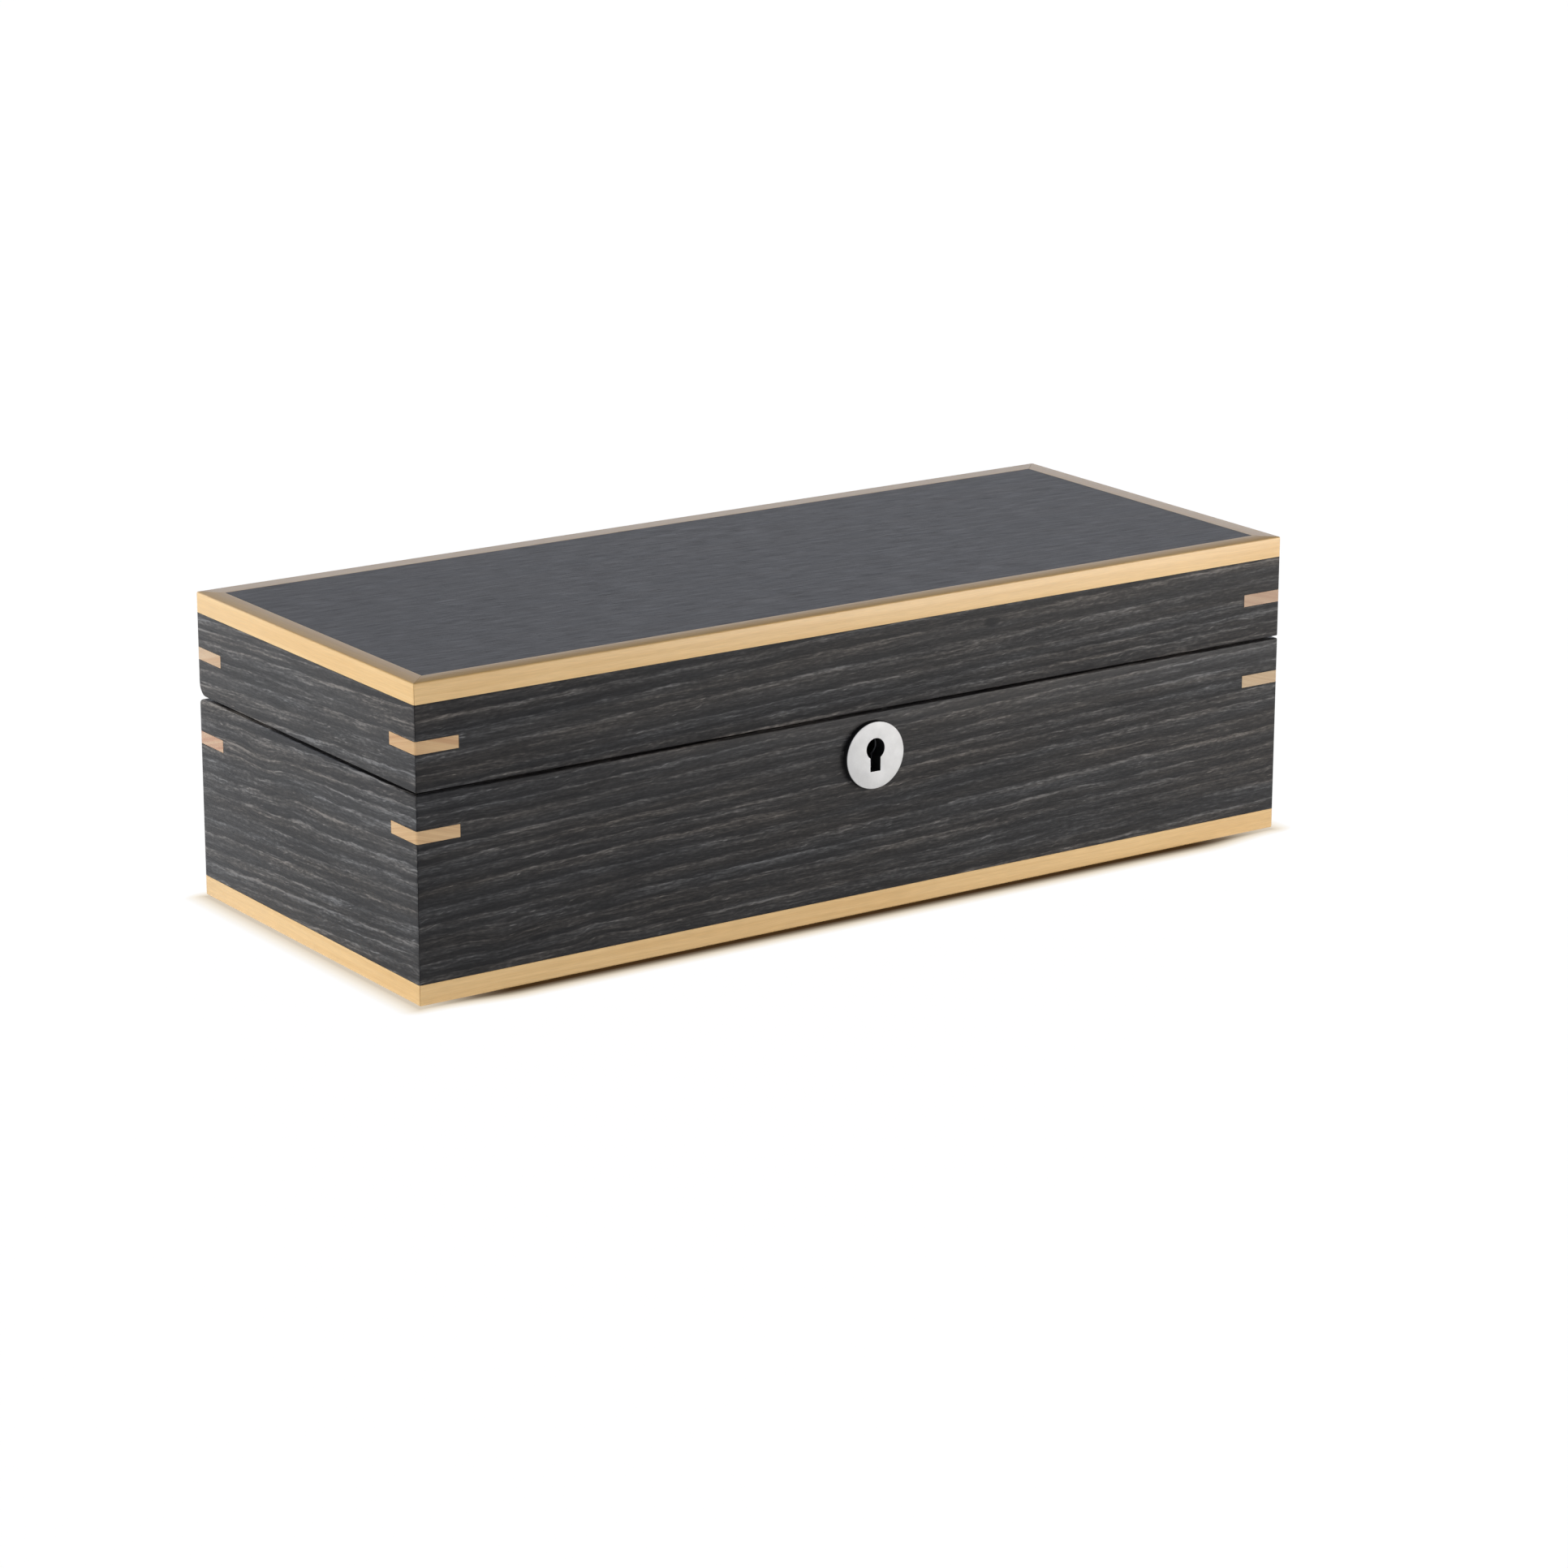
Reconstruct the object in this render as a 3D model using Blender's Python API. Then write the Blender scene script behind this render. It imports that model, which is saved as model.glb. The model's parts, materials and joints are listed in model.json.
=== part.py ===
"""Keepsake box: mitred dark oak walls, pale lipping, corner keys, butt hinges and a box lock.

Metres.  X runs along the front, Y from front to back, Z up from the table.
The origin is on the table under the middle of the box.
"""
import math

import bmesh
import bpy
from mathutils import Matrix, Vector

# ---------------------------------------------------------------- driving dimensions
LENGTH = 0.330
DEPTH = 0.135
WALL = 0.012
FELT_THICKNESS = 0.0006
WOOD_BOTTOM = 0.0007              # the felt under the box lifts the wood this far
WOOD_TOP = WOOD_BOTTOM + 0.0998
SEAM = WOOD_BOTTOM + 0.0658       # middle of the line between base and lid
SEAM_GAP = 0.0008
BASE_TOP = SEAM - SEAM_GAP / 2
LID_BOTTOM = SEAM + SEAM_GAP / 2

GAP = 0.0003                      # between pieces that only touch
GLUE_GAP = 0.0001                 # between pieces that are glued and finished flush

PANEL = 0.0066                    # thickness of the bottom and top panels
LIPPING = 0.0068                  # width of the pale strips round those panels

KEY_LEG = 0.015                   # how far a corner key shows along each face
KEY_HEIGHT = 0.004
KEY_MIDDLES = {"base": WOOD_BOTTOM + 0.0525, "lid": WOOD_BOTTOM + 0.080}

ARRIS = 0.0008                    # widest easing of an outside edge
ARRIS_SEGMENTS = 3
# The long back edges are rounded where base and lid meet: (depth into the box, height).
BACK_EASING = {"base": (0.0035, 0.0035), "lid": (0.0045, 0.0070)}
BACK_EASING_STEPS = 8

# Hinges: the axis lies in the groove that the two rounded back edges make.
HINGE_AXIS = Vector((0.0, DEPTH / 2 - 0.0025, SEAM))
HINGE_MIDDLES = {"left": -0.100, "right": 0.100}
LEAF_HALF_LENGTH = 0.015
LEAF_THICKNESS = 0.0012
LEAF_BACK = 0.0024                # from the axis to the plate
LEAF_FRONT = 0.0090
KNUCKLE_RADIUS = 0.0019
KNUCKLE_BORE = 0.00103
KNUCKLE_SPLIT = 0.005             # where the middle knuckle ends and the outer ones start
PIN_RADIUS = 0.00095
PIN_HALF_LENGTH = 0.0155
HINGE_SCREW_OFFSET = 0.009
HINGE_SEGMENTS = 24

# Screws are all one size.
SCREW_HEAD_RADIUS = 0.0017
SCREW_RADIUS = 0.0009
SCREW_HEAD_HEIGHT = 0.0008
SCREW_LENGTH = 0.0065
SCREW_CLEARANCE = 0.00015
SCREW_SEGMENTS = 16

# Interior
LINING = 0.0016
LINING_SETBACK = 0.0025           # from the rim to the lining's edge
FLOOR_PAD = 0.005
LID_PAD = 0.006

# Escutcheon and lock.  KEY_CENTRE is the pin that the key turns on.
ESCUTCHEON_RADIUS = 0.011
ESCUTCHEON_MIDDLE = WOOD_BOTTOM + 0.0520
ESCUTCHEON_PROUD = 0.002
ESCUTCHEON_EDGE = 0.0004
SPIGOT_RADIUS = 0.007
SPIGOT_LENGTH = 0.0026
ESCUTCHEON_SEGMENTS = 64
KEY_CENTRE = WOOD_BOTTOM + 0.0541
KEYHOLE_RADIUS = 0.00345
KEYHOLE_STEM_WIDTH = 0.0038
KEYHOLE_DROP = 0.0073             # from the round part's centre to the stem's foot
LOCK_HALF_WIDTH = 0.019
LOCK_BOTTOM = KEY_CENTRE - 0.014
LOCK_FRONT = -DEPTH / 2 + 0.0033
LOCK_BACK = -DEPTH / 2 + WALL - 0.0001
LOCK_SHEET = 0.0008
LOCK_MIDDLE_Y = -DEPTH / 2 + 0.0075
SELVAGE_HALF_WIDTH = 0.027
SELVAGE_THICKNESS = 0.0015
SELVAGE_SCREW = 0.023
DRILL_PIN_RADIUS = 0.0012
BOLT_THICKNESS = 0.0024
BOLT_LEFT = -0.014
BOLT_TIP = 0.0062
BOLT_UNDER = KEY_CENTRE + 0.0031
BOLT_SHOULDER = KEY_CENTRE + 0.0051
BOLT_TOP = KEY_CENTRE + 0.0077
BOLT_NOTCH_TOP = KEY_CENTRE + 0.0053
BOLT_NOTCH = (-0.0032, 0.0006)     # where the key pushes
BOLT_HEAD = 0.0020                 # where the bolt narrows to enter the staple
STRIKE_HALF_WIDTH = 0.022
STRIKE_THICKNESS = 0.0012
STRIKE_SCREW = 0.018
STAPLE_X = 0.008
STAPLE_THICKNESS = 0.002
STAPLE_HALF_DEPTH = 0.0027
STAPLE_FOOT = KEY_CENTRE + 0.0032
STAPLE_SIDE_ROOM = 0.0005
STAPLE_SWING_ROOM = 0.0006         # the staple swings forward as the lid opens
STAPLE_BACK_ROOM = 0.0004
EYE_HALF_DEPTH = 0.0017
EYE_BOTTOM = KEY_CENTRE + 0.0046
EYE_TOP = KEY_CENTRE + 0.0082
LEVER_PIVOT = Vector((-0.0158, LOCK_MIDDLE_Y + 0.0022, KEY_CENTRE + 0.0052))
LEVER_THICKNESS = 0.001
LEVER_POST_RADIUS = 0.0011
LEVER_BOSS_RADIUS = 0.0021
LEVER_TOP = KEY_CENTRE + 0.0063
LEVER_UNDER = KEY_CENTRE + 0.0042
LEVER_TIP = 0.0052
LEVER_BELLY = -0.001               # middle of the belly that the key lifts
LEVER_BELLY_SIZE = (0.0045, 0.0010)
SPRING_SHEET = 0.0003
SPRING_BEND = -0.0105
SPRING_TOP_END = -0.0040
SPRING_FOOT_END = 0.0020

# Principled base colour, roughness and metallic of each finish.
FINISHES = {
    "stained_oak": ((0.052, 0.050, 0.050), 0.48, 0.0),
    "pale_maple": ((0.72, 0.48, 0.20), 0.42, 0.0),
    "key_maple": ((0.76, 0.47, 0.24), 0.45, 0.0),
    "brushed_steel": ((0.74, 0.75, 0.76), 0.30, 1.0),
    "nickel": ((0.66, 0.64, 0.60), 0.28, 1.0),
    "lock_steel": ((0.42, 0.42, 0.43), 0.40, 1.0),
    "spring_bronze": ((0.55, 0.34, 0.16), 0.35, 1.0),
    "grey_suede": ((0.20, 0.19, 0.185), 0.92, 0.0),
    "black_felt": ((0.02, 0.02, 0.02), 0.95, 0.0),
}

# Turn from the front side to each side, seen from above.
SIDES = {"front": 0, "right": 90, "back": 180, "left": 270}
CORNERS = {
    "front_left": (-1, -1),
    "front_right": (1, -1),
    "back_right": (1, 1),
    "back_left": (-1, 1),
}


# ---------------------------------------------------------------- scene helpers
def clear_scene():
    for thing in list(bpy.data.objects):
        bpy.data.objects.remove(thing, do_unlink=True)


def link(thing):
    bpy.context.scene.collection.objects.link(thing)
    return thing


def add_empty(name, place):
    empty = link(bpy.data.objects.new(name, None))
    empty.location = place
    return empty


def finish_material(name, finish):
    colour, roughness, metallic = FINISHES[finish]
    material = bpy.data.materials.new(name)
    material.use_nodes = True
    shader = material.node_tree.nodes["Principled BSDF"]
    shader.inputs["Base Color"].default_value = (*colour, 1.0)
    shader.inputs["Roughness"].default_value = roughness
    shader.inputs["Metallic"].default_value = metallic
    return material


def add_piece(name, mesh, finish, frame):
    """Make one sub-part whose mesh is written in world coordinates, and hang it on its frame."""
    piece = link(bpy.data.objects.new(name, mesh))
    piece.parent = frame
    piece.matrix_parent_inverse = Matrix.Translation(-frame.location)
    if not mesh.materials:
        mesh.materials.append(finish_material(f"{name}_{finish}", finish))
    return piece


def add_cutter(name, mesh):
    cutter = link(bpy.data.objects.new(f"cutter_{name}", mesh))
    cutter.hide_render = True
    cutter.display_type = "WIRE"
    return cutter


def combine(piece, cutter, operation="DIFFERENCE"):
    step = piece.modifiers.new(f"{operation.lower()}_{cutter.name}", "BOOLEAN")
    step.operation = operation
    step.object = cutter
    step.solver = "EXACT"


def shade_round(mesh):
    mesh.shade_smooth()
    mesh.set_sharp_from_angle(angle=math.radians(35))


# ---------------------------------------------------------------- mesh helpers
def mesh_from(name, bm):
    bmesh.ops.recalc_face_normals(bm, faces=bm.faces)
    mesh = bpy.data.meshes.new(name)
    bm.to_mesh(mesh)
    bm.free()
    return mesh


def prism(name, outline, axis, low, high):
    """Extrude an outline along an axis.  It is given in the other two axes, in X, Y, Z order."""
    place = "XYZ".index(axis)

    def ring(height):
        corners = []
        for point in outline:
            corner = list(point)
            corner.insert(place, height)
            corners.append(bm.verts.new(corner))
        return corners

    bm = bmesh.new()
    start = ring(low)
    end = ring(high)
    bm.faces.new(start)
    bm.faces.new(end)
    for i in range(len(outline)):
        j = (i + 1) % len(outline)
        bm.faces.new((start[i], start[j], end[j], end[i]))
    return mesh_from(name, bm)


def block(name, low, high):
    outline = [(low[0], low[1]), (high[0], low[1]), (high[0], high[1]), (low[0], high[1])]
    return prism(name, outline, "Z", low[2], high[2])


def arc(centre, radius, start_deg, end_deg, steps):
    """Points along an arc.  A pair of radii makes it elliptical."""
    across, up = radius if isinstance(radius, tuple) else (radius, radius)
    points = []
    for i in range(steps + 1):
        angle = math.radians(start_deg + (end_deg - start_deg) * i / steps)
        points.append((centre[0] + across * math.cos(angle), centre[1] + up * math.sin(angle)))
    return points


def circle(centre, radius, segments):
    return arc(centre, radius, 0, 360, segments)[:-1]


def turned(name, profile, segments):
    """Turn (radius, height) points about Z.  The profile starts and ends on the axis."""
    bm = bmesh.new()
    rings = []
    for radius, height in profile:
        count = 1 if radius == 0 else segments
        rings.append([bm.verts.new((x, y, height)) for x, y in circle((0, 0), radius, count)])
    for lower, upper in zip(rings, rings[1:]):
        for i in range(segments):
            j = (i + 1) % segments
            corners = [lower[i % len(lower)], lower[j % len(lower)]]
            corners += [upper[j % len(upper)], upper[i % len(upper)]]
            bm.faces.new(list(dict.fromkeys(corners)))
    return mesh_from(name, bm)


def tube(name, centre, outer, inner, low, high, segments):
    """A straight tube along X."""
    bm = bmesh.new()
    rings = []
    for radius, x in ((outer, low), (outer, high), (inner, high), (inner, low)):
        rings.append([bm.verts.new((x, y, z)) for y, z in circle(centre, radius, segments)])
    for here, there in zip(rings, rings[1:] + rings[:1]):
        for i in range(segments):
            j = (i + 1) % segments
            bm.faces.new((here[i], here[j], there[j], there[i]))
    return mesh_from(name, bm)


def mitred_outline(side, half_x, half_y, thickness):
    """Plan of one board of a mitred frame, with half a glue line left at each mitre."""
    run, out = (half_x, half_y) if side in ("front", "back") else (half_y, half_x)
    short = GLUE_GAP / math.sqrt(2)
    plan = [
        Vector((-run + short, -out)),
        Vector((run - short, -out)),
        Vector((run - thickness - short, -out + thickness)),
        Vector((-run + thickness + short, -out + thickness)),
    ]
    turn = Matrix.Rotation(math.radians(SIDES[side]), 2)
    return [tuple(turn @ point) for point in plan]


def corner_outline(corner, leg, beyond):
    """Plan of a corner key: a right triangle on the corner, reaching past both faces."""
    sign_x, sign_y = CORNERS[corner]
    half_x, half_y = LENGTH / 2, DEPTH / 2
    return [
        (sign_x * (half_x + beyond), sign_y * (half_y + beyond)),
        (sign_x * (half_x - leg - beyond), sign_y * (half_y + beyond)),
        (sign_x * (half_x + beyond), sign_y * (half_y - leg - beyond)),
    ]


def keyhole_outline(clearance):
    radius = KEYHOLE_RADIUS + clearance
    half_stem = KEYHOLE_STEM_WIDTH / 2 + clearance
    foot = KEY_CENTRE - KEYHOLE_DROP - clearance
    start = math.degrees(math.asin(half_stem / radius))
    round_part = arc((0, KEY_CENTRE), radius, -90 + start, 270 - start, 28)
    return round_part + [(-half_stem, foot), (half_stem, foot)]


# ---------------------------------------------------------------- shared envelopes
def envelope(part, low, high):
    """The finished outside of the base or the lid: every board is trimmed to it after glue-up."""
    half_x, half_y = LENGTH / 2, DEPTH / 2
    mesh = block(f"{part}_envelope", (-half_x, -half_y, low), (half_x, half_y, high))
    weights = mesh.attributes.new("bevel_weight_edge", "FLOAT", "EDGE")
    for edge in mesh.edges:
        ends = [mesh.vertices[i].co for i in edge.vertices]
        upright = abs(ends[0].z - ends[1].z) > 0.001
        weights.data[edge.index].value = 1.0 if upright else 0.7
    shape = add_cutter(f"{part}_envelope", mesh)
    bevel = shape.modifiers.new("arrises", "BEVEL")
    bevel.limit_method = "WEIGHT"
    bevel.width = ARRIS
    bevel.segments = ARRIS_SEGMENTS

    depth, height = BACK_EASING[part]
    face, away = (high, 1) if part == "base" else (low, -1)
    top_of_curve = (half_y - depth, face - away * height)
    curve = arc(top_of_curve, (depth, away * height), 0, 90, BACK_EASING_STEPS)
    beyond = 0.003
    waste = curve + [
        (half_y - depth, face + away * beyond),
        (half_y + beyond, face + away * beyond),
        (half_y + beyond, face - away * height),
    ]
    waste_mesh = prism(f"{part}_back_waste", waste, "X", -half_x - beyond, half_x + beyond)
    combine(shape, add_cutter(f"{part}_back_waste", waste_mesh))
    return shape


# ---------------------------------------------------------------- wood
def add_walls(part, low, high, shape, frame):
    walls = {}
    for side in SIDES:
        name = f"{part}_{side}_wall"
        outline = mitred_outline(side, LENGTH / 2, DEPTH / 2, WALL)
        walls[side] = add_piece(name, prism(name, outline, "Z", low, high), "stained_oak", frame)
        combine(walls[side], shape, "INTERSECT")
    return walls


def add_corner_keys(part, walls, shape, frame):
    low = KEY_MIDDLES[part] - KEY_HEIGHT / 2
    high = KEY_MIDDLES[part] + KEY_HEIGHT / 2
    for corner in CORNERS:
        name = f"{part}_key_{corner}"
        key_mesh = prism(name, corner_outline(corner, KEY_LEG, 0), "Z", low, high)
        key = add_piece(name, key_mesh, "key_maple", frame)
        combine(key, shape, "INTERSECT")
        slot_plan = corner_outline(corner, KEY_LEG + GLUE_GAP * math.sqrt(2), 0.002)
        slot = add_cutter(name, prism(name, slot_plan, "Z", low - GLUE_GAP, high + GLUE_GAP))
        for side in corner.split("_"):
            combine(walls[side], slot)


def add_panel_and_lipping(part, panel_name, low, high, shape, frame):
    inside = LIPPING + GLUE_GAP
    half_x, half_y = LENGTH / 2, DEPTH / 2
    panel_low = (-half_x + inside, -half_y + inside, low)
    panel_high = (half_x - inside, half_y - inside, high)
    add_piece(panel_name, block(panel_name, panel_low, panel_high), "stained_oak", frame)
    for side in SIDES:
        name = f"{part}_{side}_lipping"
        outline = mitred_outline(side, half_x, half_y, LIPPING)
        strip = add_piece(name, prism(name, outline, "Z", low, high), "pale_maple", frame)
        combine(strip, shape, "INTERSECT")


# ---------------------------------------------------------------- screws
def screw_profile(clearance, head_above):
    head = SCREW_HEAD_RADIUS + clearance
    shank = SCREW_RADIUS + clearance
    foot = -SCREW_LENGTH - clearance
    top = [(0, head_above), (head, head_above)]
    if head_above > 0:
        top.append((head, 0))
    return top + [(shank, -SCREW_HEAD_HEIGHT), (shank, foot + shank), (0, foot)]


def screw_mesh():
    """A countersunk wood screw, head up at the origin, with its driver slot cut."""
    blank_mesh = turned("screw_blank", screw_profile(0, 0), SCREW_SEGMENTS)
    blank = link(bpy.data.objects.new("screw_blank", blank_mesh))
    slot_low = (-0.002, -0.00022, -0.0004)
    slot_high = (0.002, 0.00022, 0.001)
    slot = link(bpy.data.objects.new("screw_slot", block("screw_slot", slot_low, slot_high)))
    combine(blank, slot)
    depsgraph = bpy.context.evaluated_depsgraph_get()
    mesh = bpy.data.meshes.new_from_object(blank.evaluated_get(depsgraph))
    mesh.name = "screw"
    for helper in (blank, slot):
        bpy.data.objects.remove(helper)
    return mesh


def add_screw(name, place, head_up, finish, frame, hosts):
    """Drive one screw into its hosts: the plate it holds and the wood behind."""
    turn = 0.0 if head_up else math.pi
    screw = add_piece(name, SCREW.copy(), finish, frame)
    hole = add_cutter(name, SCREW_HOLE)
    for thing in (screw, hole):
        thing.location = place
        thing.rotation_euler = (turn, 0.0, 0.0)
    for host in hosts:
        combine(host, hole)


# ---------------------------------------------------------------- hinges
def leaf_outline(part, middle):
    """Plan of a leaf: the plate, with tongues that reach the knuckles it carries."""
    half = LEAF_HALF_LENGTH
    split = KNUCKLE_SPLIT
    front = HINGE_AXIS.y - LEAF_FRONT
    back = HINGE_AXIS.y - LEAF_BACK
    tongue = HINGE_AXIS.y - 0.0012
    if part == "base":
        inner = split + GAP / 2
        plan = [(-half, front), (half, front), (half, tongue), (inner, tongue), (inner, back)]
        plan += [(-inner, back), (-inner, tongue), (-half, tongue)]
    else:
        inner = split - GAP / 2
        plan = [(-half, front), (half, front), (half, back), (inner, back), (inner, tongue)]
        plan += [(-inner, tongue), (-inner, back), (-half, back)]
    return [(middle + x, y) for x, y in plan]


def knuckle_spans(part, middle):
    split = KNUCKLE_SPLIT
    if part == "lid":
        return [(middle - split + GAP / 2, middle + split - GAP / 2)]
    inner = split + GAP / 2
    return [(middle - LEAF_HALF_LENGTH, middle - inner), (middle + inner, middle + LEAF_HALF_LENGTH)]


def add_leaf(part, hand, middle, wall, frame):
    name = f"hinge_{hand}_{part}_leaf"
    up = 1 if part == "lid" else -1
    face = LID_BOTTOM if part == "lid" else BASE_TOP
    low, high = sorted((face, face + up * LEAF_THICKNESS))
    leaf = add_piece(name, prism(name, leaf_outline(part, middle), "Z", low, high), "nickel", frame)
    axis = (HINGE_AXIS.y, HINGE_AXIS.z)
    for i, (left, right) in enumerate(knuckle_spans(part, middle)):
        knuckle_mesh = tube(name, axis, KNUCKLE_RADIUS, KNUCKLE_BORE, left, right, HINGE_SEGMENTS)
        combine(leaf, add_cutter(f"{name}_knuckle_{i}", knuckle_mesh), "UNION")

    reach = LEAF_HALF_LENGTH + GAP
    mortise_low, mortise_high = sorted((face - up * 0.002, face + up * (LEAF_THICKNESS + GAP)))
    mortise_front = (middle - reach, HINGE_AXIS.y - LEAF_FRONT - GAP, mortise_low)
    mortise = block(name, mortise_front, (middle + reach, HINGE_AXIS.y, mortise_high))
    combine(wall, add_cutter(f"{name}_mortise", mortise))
    for i, side in enumerate((-1, 1)):
        plate_middle = HINGE_AXIS.y - (LEAF_BACK + LEAF_FRONT) / 2
        place = (middle + side * HINGE_SCREW_OFFSET, plate_middle, face)
        add_screw(f"hinge_{hand}_{part}_screw_{i + 1}", place, part == "base", "nickel", frame, (leaf, wall))


def add_hinge(hand, middle, walls, frames):
    for part in ("base", "lid"):
        add_leaf(part, hand, middle, walls[part]["back"], frames[part])
    reach = PIN_HALF_LENGTH + GAP
    axis = (HINGE_AXIS.y, HINGE_AXIS.z)
    recess_outline = circle(axis, KNUCKLE_RADIUS + 0.0004, HINGE_SEGMENTS)
    recess = prism(f"barrel_{hand}", recess_outline, "X", middle - reach, middle + reach)
    recess_cutter = add_cutter(f"barrel_{hand}", recess)
    for part in ("base", "lid"):
        combine(walls[part]["back"], recess_cutter)

    name = f"hinge_{hand}_pin"
    tip = 0.0003
    profile = [
        (0, -PIN_HALF_LENGTH),
        (PIN_RADIUS - tip, -PIN_HALF_LENGTH),
        (PIN_RADIUS, -PIN_HALF_LENGTH + tip),
        (PIN_RADIUS, PIN_HALF_LENGTH - tip),
        (PIN_RADIUS - tip, PIN_HALF_LENGTH),
        (0, PIN_HALF_LENGTH),
    ]
    mesh = turned(name, profile, HINGE_SEGMENTS)
    mesh.transform(Matrix.Rotation(math.pi / 2, 4, "Y"))
    mesh.transform(Matrix.Translation((middle, HINGE_AXIS.y, HINGE_AXIS.z)))
    shade_round(mesh)
    add_piece(name, mesh, "nickel", frames["base"])


# ---------------------------------------------------------------- escutcheon and lock
def add_escutcheon(front_wall, frame):
    name = "escutcheon"
    face = DEPTH / 2 + ESCUTCHEON_PROUD
    behind = DEPTH / 2 + GLUE_GAP
    profile = [
        (0, DEPTH / 2 - SPIGOT_LENGTH),
        (SPIGOT_RADIUS, DEPTH / 2 - SPIGOT_LENGTH),
        (SPIGOT_RADIUS, behind),
        (ESCUTCHEON_RADIUS, behind),
        (ESCUTCHEON_RADIUS, face - ESCUTCHEON_EDGE),
        (ESCUTCHEON_RADIUS - ESCUTCHEON_EDGE * 0.3, face - ESCUTCHEON_EDGE * 0.3),
        (ESCUTCHEON_RADIUS - ESCUTCHEON_EDGE, face),
        (0, face),
    ]
    mesh = turned(name, profile, ESCUTCHEON_SEGMENTS)
    mesh.transform(Matrix.Rotation(math.pi / 2, 4, "X"))
    mesh.transform(Matrix.Translation((0, 0, ESCUTCHEON_MIDDLE)))
    escutcheon = add_piece(name, mesh, "brushed_steel", frame)
    keyhole = prism("keyhole", keyhole_outline(0), "Y", -DEPTH / 2 - 0.004, -DEPTH / 2 + 0.004)
    combine(escutcheon, add_cutter("keyhole", keyhole))
    seat_outline = circle((0, ESCUTCHEON_MIDDLE), SPIGOT_RADIUS + GLUE_GAP, 32)
    seat = prism("spigot_seat", seat_outline, "Y", -DEPTH / 2 - 0.001, -DEPTH / 2 + 0.004)
    combine(front_wall, add_cutter("spigot_seat", seat))


def add_lock_case(front_wall, frame):
    """Sheet tray with a selvage along its top edge, let into the front wall from the rim."""
    name = "lock_case"
    back = LOCK_BACK - LOCK_SHEET - GAP
    selvage_low = BASE_TOP - SELVAGE_THICKNESS
    low = (-LOCK_HALF_WIDTH, LOCK_FRONT, LOCK_BOTTOM)
    case = add_piece(name, block(name, low, (LOCK_HALF_WIDTH, back, BASE_TOP)), "lock_steel", frame)
    hollow_low = (-LOCK_HALF_WIDTH + LOCK_SHEET, LOCK_FRONT + LOCK_SHEET, LOCK_BOTTOM + LOCK_SHEET)
    hollow_high = (LOCK_HALF_WIDTH - LOCK_SHEET, back + 0.001, selvage_low)
    combine(case, add_cutter("lock_hollow", block("lock_hollow", hollow_low, hollow_high)))
    selvage_front = (-SELVAGE_HALF_WIDTH, LOCK_FRONT, selvage_low)
    selvage = block("selvage", selvage_front, (SELVAGE_HALF_WIDTH, back, BASE_TOP))
    combine(case, add_cutter("selvage", selvage), "UNION")
    post_outline = circle((LEVER_PIVOT.x, LEVER_PIVOT.z), LEVER_POST_RADIUS, 16)
    post_end = LEVER_PIVOT.y + LEVER_THICKNESS
    post = prism("lever_post", post_outline, "Y", LOCK_FRONT + LOCK_SHEET / 2, post_end)
    combine(case, add_cutter("lever_post", post), "UNION")
    sheet_back = LOCK_FRONT + LOCK_SHEET
    keyhole = prism("case_keyhole", keyhole_outline(GAP), "Y", LOCK_FRONT - 0.001, sheet_back + 0.0004)
    combine(case, add_cutter("case_keyhole", keyhole))
    half_slot = STAPLE_THICKNESS / 2 + STAPLE_SIDE_ROOM
    slot_front = LOCK_MIDDLE_Y - STAPLE_HALF_DEPTH - STAPLE_SWING_ROOM
    slot_back = LOCK_MIDDLE_Y + STAPLE_HALF_DEPTH + STAPLE_BACK_ROOM
    slot_low = (STAPLE_X - half_slot, slot_front, selvage_low - 0.001)
    slot_high = (STAPLE_X + half_slot, slot_back, BASE_TOP + 0.001)
    combine(case, add_cutter("staple_slot", block("staple_slot", slot_low, slot_high)))

    pocket_low = (-LOCK_HALF_WIDTH - GAP, LOCK_FRONT - GAP, LOCK_BOTTOM - GAP)
    pocket = block("lock_pocket", pocket_low, (LOCK_HALF_WIDTH + GAP, 0.0, BASE_TOP + 0.001))
    combine(front_wall, add_cutter("lock_pocket", pocket))
    recess_low = (-SELVAGE_HALF_WIDTH - GAP, LOCK_FRONT - GAP, selvage_low - GAP)
    recess = block("selvage_recess", recess_low, (SELVAGE_HALF_WIDTH + GAP, 0.0, BASE_TOP + 0.001))
    combine(front_wall, add_cutter("selvage_recess", recess))
    for hand, side in (("left", -1), ("right", 1)):
        place = (side * SELVAGE_SCREW, LOCK_MIDDLE_Y, BASE_TOP)
        add_screw(f"lock_screw_{hand}", place, True, "lock_steel", frame, (case, front_wall))


def add_lock_cap(frame):
    """Back plate of the lock, with the pin that the key's barrel turns on."""
    name = "lock_cap"
    low = (-LOCK_HALF_WIDTH, LOCK_BACK - LOCK_SHEET, LOCK_BOTTOM)
    high = (LOCK_HALF_WIDTH, LOCK_BACK, BASE_TOP - SELVAGE_THICKNESS - GAP)
    cap = add_piece(name, block(name, low, high), "lock_steel", frame)
    pin_outline = circle((0, KEY_CENTRE), DRILL_PIN_RADIUS, 16)
    pin = prism("drill_pin", pin_outline, "Y", LOCK_FRONT + 0.0016, LOCK_BACK - LOCK_SHEET / 2)
    combine(cap, add_cutter("drill_pin", pin), "UNION")


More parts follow.
